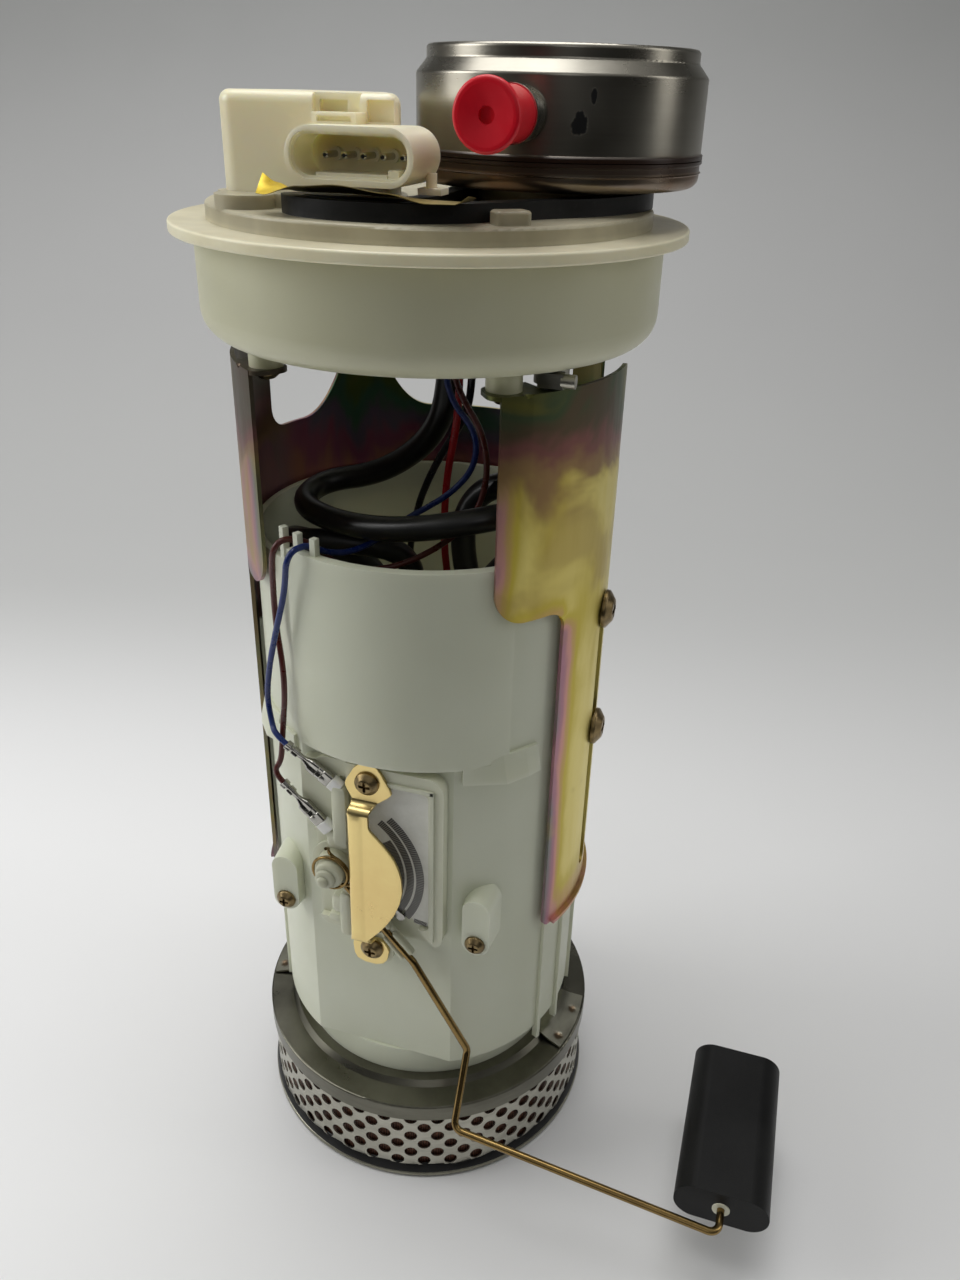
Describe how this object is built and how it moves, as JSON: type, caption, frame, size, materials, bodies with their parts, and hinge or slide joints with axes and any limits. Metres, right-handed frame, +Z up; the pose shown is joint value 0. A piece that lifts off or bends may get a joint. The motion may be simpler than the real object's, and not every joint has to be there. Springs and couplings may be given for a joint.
{
  "type": "in-tank fuel pump module",
  "caption": "In-tank fuel pump module: perforated strainer foot, translucent reservoir with level sensor and float, telescoping sheet bracket, and a flange with filter canister and connector.",
  "frame": {"origin": "centre of the flat bottom of the strainer", "axes": "+Z up along the module's axis; -Y towards the side with the level sensor; +X towards the float"},
  "size_m": [0.2083, 0.1402, 0.3625],
  "materials": {
    "stainless": "satin stamped sheet",
    "mesh": "woven filter cloth",
    "potting": "semi-gloss",
    "bowl_plastic": "milky, satin",
    "sensor_plastic": "satin",
    "hub_plastic": "satin",
    "ceramic": "satin ceramic",
    "track": "printed ink",
    "zinc": "iridescent yellow zinc",
    "cover_zinc": "yellow zinc",
    "dark_screw": "dark bronze zinc",
    "contact": "tinned",
    "arm_wire": "bronze zinc",
    "float_foam": "matt closed-cell foam",
    "flange_plastic": "satin ivory",
    "cup_plastic": "satin",
    "black_rubber": "satin",
    "foil": "crinkled foil",
    "canister_steel": "brushed, drawn",
    "filter_paper": "pleated paper",
    "red_rubber": "satin",
    "pump_metal": "zinc plated",
    "pump_plastic": "satin",
    "pump_core": "laminated",
    "supply_tube": "satin",
    "return_tube": "satin",
    "lead_blue": "insulation",
    "lead_brown": "insulation",
    "lead_red": "insulation",
    "lead_black": "insulation"
  },
  "bodies": {
    "reservoir_unit": {"strainer_top_plate": "stainless", "perforated_band": "stainless", "strainer_mesh": "mesh", "potting_ring": "potting", "strainer_bottom_plate": "stainless", "clip_plates": "stainless", "reservoir": "bowl_plastic", "slot_screws": "dark_screw", "boss_screws": "dark_screw", "sensor_housing": "sensor_plastic", "resistor_card": "ceramic", "resistor_track": "track", "cover_plate": "cover_zinc", "sensor_screws": "dark_screw", "receptacles": "contact", "spade_terminals": "contact", "pump_shell": "pump_metal", "pump_inlet_cover": "pump_plastic", "pump_isolator": "black_rubber", "pump_top_cap": "pump_plastic", "supply_hose": "supply_tube", "return_hose": "return_tube", "jet_hose": "return_tube", "wire_blue": "lead_blue", "wire_brown": "lead_brown", "wire_red": "lead_red", "wire_black": "lead_black"},
    "float_arm": {"arm_hub": "hub_plastic", "wiper": "contact", "hub_spring": "contact", "float_wire": "arm_wire", "float_clip": "contact"},
    "float": {"float_body": "float_foam", "float_bushing": "hub_plastic"},
    "flange_unit": {"bracket": "zinc", "bracket_screws": "dark_screw", "mounting_flange": "flange_plastic", "flange_cup": "cup_plastic", "supply_pipe": "contact", "return_pipe": "contact", "harness_grommet": "black_rubber", "hose_clamp": "stainless", "flange_gasket": "black_rubber", "connector_tower": "flange_plastic", "terminal_pins": "contact", "foil_label": "foil", "canister_shell": "canister_steel", "canister_base": "canister_steel", "filter_element": "filter_paper", "pressure_regulator": "pump_metal", "outlet_nipple": "canister_steel"},
    "port_plug": {"port_plug": "red_rubber"},
    "pump_rotor": {"pump_rotor": "pump_core"}
  },
  "joints": [
    {"name": "bracket_slide", "type": "slide", "parent": "reservoir_unit", "child": "flange_unit", "axis": [0, 0, 1], "range_m": [0, 0.05], "deforming": ["supply_hose", "return_hose", "wire_blue", "wire_brown", "wire_red", "wire_black"]},
    {"name": "float_hinge", "type": "hinge", "parent": "reservoir_unit", "child": "float_arm", "pos_m": [-0.0135, -0.053, 0.1315], "axis": [0, -1, 0], "range_deg": [0, 78]},
    {"name": "float_swivel", "type": "hinge", "parent": "float_arm", "child": "float", "pos_m": [0.1228, -0.03, 0.031], "axis": [0, 1, 0], "continuous": true},
    {"name": "rotor_spin", "type": "hinge", "parent": "reservoir_unit", "child": "pump_rotor", "pos_m": [0, 0.01, 0.11], "axis": [0, 0, 1], "continuous": true},
    {"name": "plug_pull", "type": "slide", "parent": "flange_unit", "child": "port_plug", "axis": [0, -1, 0], "range_m": [0, 0.025]}
  ]
}
